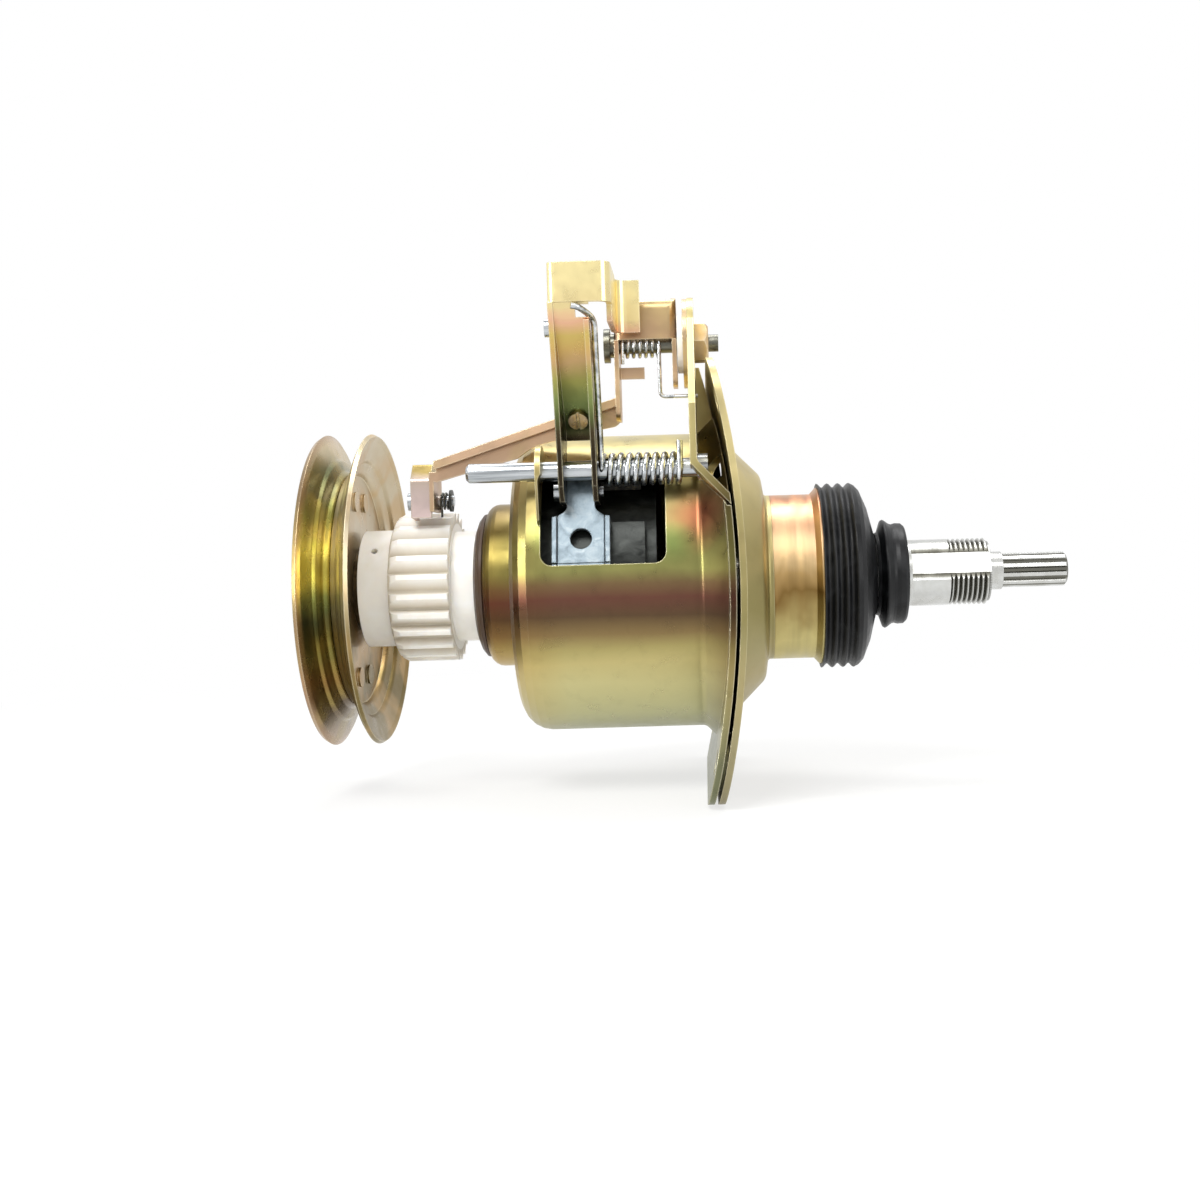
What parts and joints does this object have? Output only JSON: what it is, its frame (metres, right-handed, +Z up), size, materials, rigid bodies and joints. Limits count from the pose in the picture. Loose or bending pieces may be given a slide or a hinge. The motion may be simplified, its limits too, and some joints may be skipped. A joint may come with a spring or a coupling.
{
  "type": "washing machine clutch",
  "caption": "Planetary reduction clutch of a top-loading washing machine: belt pulley, brake and pawl levers, sprung ratchet sleeve, flanged housing, threaded spin tube and splined shaft.",
  "frame": {"origin": "on the main axis, in the middle plane of the outer flange plate at its four mounting holes", "axes": "+X along the main axis from the pulley to the splined shaft, +Z up to the lever tips, -Y to the side of the brake lever"},
  "size_m": [0.2757, 0.151, 0.1785],
  "materials": {
    "yellow_zinc": "yellow-passivated zinc on pressed steel",
    "yellow_zinc_turned": "yellow-passivated zinc over a turned surface",
    "bearing_steel": "ground",
    "brown_rubber": "matt",
    "black_rubber": "satin",
    "dark_steel": "bare, oiled",
    "brake_lining": "matt friction lining",
    "bright_zinc": "clear zinc",
    "dull_zinc": "dull zinc",
    "white_nylon": "moulded",
    "spring_wire": "drawn wire",
    "zinc_casting": "cast",
    "turned_steel": "turned and ground",
    "bronze": "sintered"
  },
  "bodies": {
    "housing": {"lower_housing": "yellow_zinc", "upper_bracket": "yellow_zinc", "neck_tube": "yellow_zinc_turned", "lower_bearing_outer": "bearing_steel", "upper_bearing_outer": "bearing_steel", "dust_seal": "brown_rubber", "shaft_seal": "black_rubber", "water_seal": "black_rubber", "brake_band": "dark_steel", "brake_lining": "brake_lining", "band_anchor": "yellow_zinc", "lever_rod": "bright_zinc", "pivot_screw": "dull_zinc", "pivot_washer": "white_nylon", "fender_washer": "yellow_zinc", "lock_nut": "yellow_zinc", "pawl_lever_spring": "spring_wire"},
    "brake_lever": {"brake_lever": "yellow_zinc", "lug_pin": "bright_zinc", "lever_rivet": "dull_zinc", "lever_screw": "yellow_zinc", "brake_return_spring": "spring_wire"},
    "brake_lug": {"brake_lug": "zinc_casting"},
    "pawl_lever": {"pawl_lever": "yellow_zinc", "pawl_pin": "dull_zinc", "pawl_spring": "dark_steel", "retaining_clip": "dark_steel"},
    "pawl": {"pawl": "yellow_zinc"},
    "ratchet": {"ratchet_sleeve": "white_nylon", "clutch_spring": "dark_steel"},
    "input": {"pulley_outer_disc": "yellow_zinc", "pulley_inner_disc": "yellow_zinc", "pulley_nut": "yellow_zinc", "pulley_washer": "yellow_zinc", "input_shaft": "turned_steel", "clutch_sleeve": "turned_steel", "sun_gear": "turned_steel"},
    "output": {"pulsator_shaft": "turned_steel", "planet_carrier": "dark_steel", "planet_pins": "turned_steel"},
    "planet_1": {"planet_gear_1": "white_nylon"},
    "planet_2": {"planet_gear_2": "white_nylon"},
    "planet_3": {"planet_gear_3": "white_nylon"},
    "drum": {"brake_drum": "dark_steel", "drum_cover": "dark_steel", "ring_gear": "dark_steel", "spin_tube": "turned_steel", "shaft_bushes": "bronze", "lip_ring": "black_rubber", "lower_bearing_inner": "bearing_steel", "upper_bearing_inner": "bearing_steel"},
    "lower_balls": {"lower_bearing_balls": "bearing_steel"},
    "upper_balls": {"upper_bearing_balls": "bearing_steel"}
  },
  "joints": [
    {"name": "lever_pivot", "type": "hinge", "parent": "housing", "child": "brake_lever", "pos_m": [-0.0482, -0.0465, 0.0387], "axis": [-1, 0, 0], "range_deg": [0, 5.5], "stiffness_Nm_per_rad": 1.5, "springref_deg": -20.05},
    {"name": "lug_pull", "type": "hinge", "parent": "housing", "child": "brake_lug", "pos_m": [-0.0482, 0, 0], "axis": [1, 0, 0], "range_deg": [0, 1.3]},
    {"name": "pawl_lever_pivot", "type": "hinge", "parent": "housing", "child": "pawl_lever", "pos_m": [-0.025, -0.028, 0.0833], "axis": [-1, 0, 0], "range_deg": [0, 7.4], "stiffness_Nm_per_rad": 0.3, "springref_deg": -20.05},
    {"name": "pawl_pivot", "type": "hinge", "parent": "pawl_lever", "child": "pawl", "pos_m": [-0.107, -0.015, 0.031], "axis": [-1, 0, 0], "range_deg": [0, 12], "stiffness_Nm_per_rad": 0.02, "springref_deg": -20.05},
    {"name": "ratchet_spin", "type": "hinge", "parent": "housing", "child": "ratchet", "pos_m": [-0.1085, 0, 0], "axis": [1, 0, 0], "continuous": true},
    {"name": "input_spin", "type": "hinge", "parent": "drum", "child": "input", "pos_m": [-0.1353, 0, 0], "axis": [1, 0, 0], "continuous": true},
    {"name": "output_spin", "type": "hinge", "parent": "drum", "child": "output", "pos_m": [0.11, 0, 0], "axis": [1, 0, 0], "continuous": true},
    {"name": "drum_spin", "type": "hinge", "parent": "housing", "child": "drum", "pos_m": [0.026, 0, 0], "axis": [1, 0, 0], "continuous": true},
    {"name": "lower_balls_spin", "type": "hinge", "parent": "housing", "child": "lower_balls", "pos_m": [-0.0768, 0, 0], "axis": [1, 0, 0], "continuous": true},
    {"name": "upper_balls_spin", "type": "hinge", "parent": "housing", "child": "upper_balls", "pos_m": [0.0263, 0, 0], "axis": [1, 0, 0], "continuous": true},
    {"name": "planet_1_spin", "type": "hinge", "parent": "output", "child": "planet_1", "pos_m": [-0.0458, 0.0225, 0], "axis": [1, 0, 0], "continuous": true},
    {"name": "planet_2_spin", "type": "hinge", "parent": "output", "child": "planet_2", "pos_m": [-0.0458, -0.01125, 0.01949], "axis": [1, 0, 0], "continuous": true},
    {"name": "planet_3_spin", "type": "hinge", "parent": "output", "child": "planet_3", "pos_m": [-0.0458, -0.01125, -0.01949], "axis": [1, 0, 0], "continuous": true}
  ],
  "couplings": [
    {"joint": "lug_pull", "follows": "lever_pivot", "ratio": 0.2286},
    {"joint": "pawl_lever_pivot", "follows": "lever_pivot", "ratio": 1.3333},
    {"joint": "output_spin", "follows": "input_spin", "ratio": 0.2},
    {"joint": "lower_balls_spin", "follows": "drum_spin", "ratio": 0.40588},
    {"joint": "upper_balls_spin", "follows": "drum_spin", "ratio": 0.3961},
    {"joint": "planet_1_spin", "follows": "input_spin", "ratio": -0.53333},
    {"joint": "planet_2_spin", "follows": "input_spin", "ratio": -0.53333},
    {"joint": "planet_3_spin", "follows": "input_spin", "ratio": -0.53333}
  ]
}
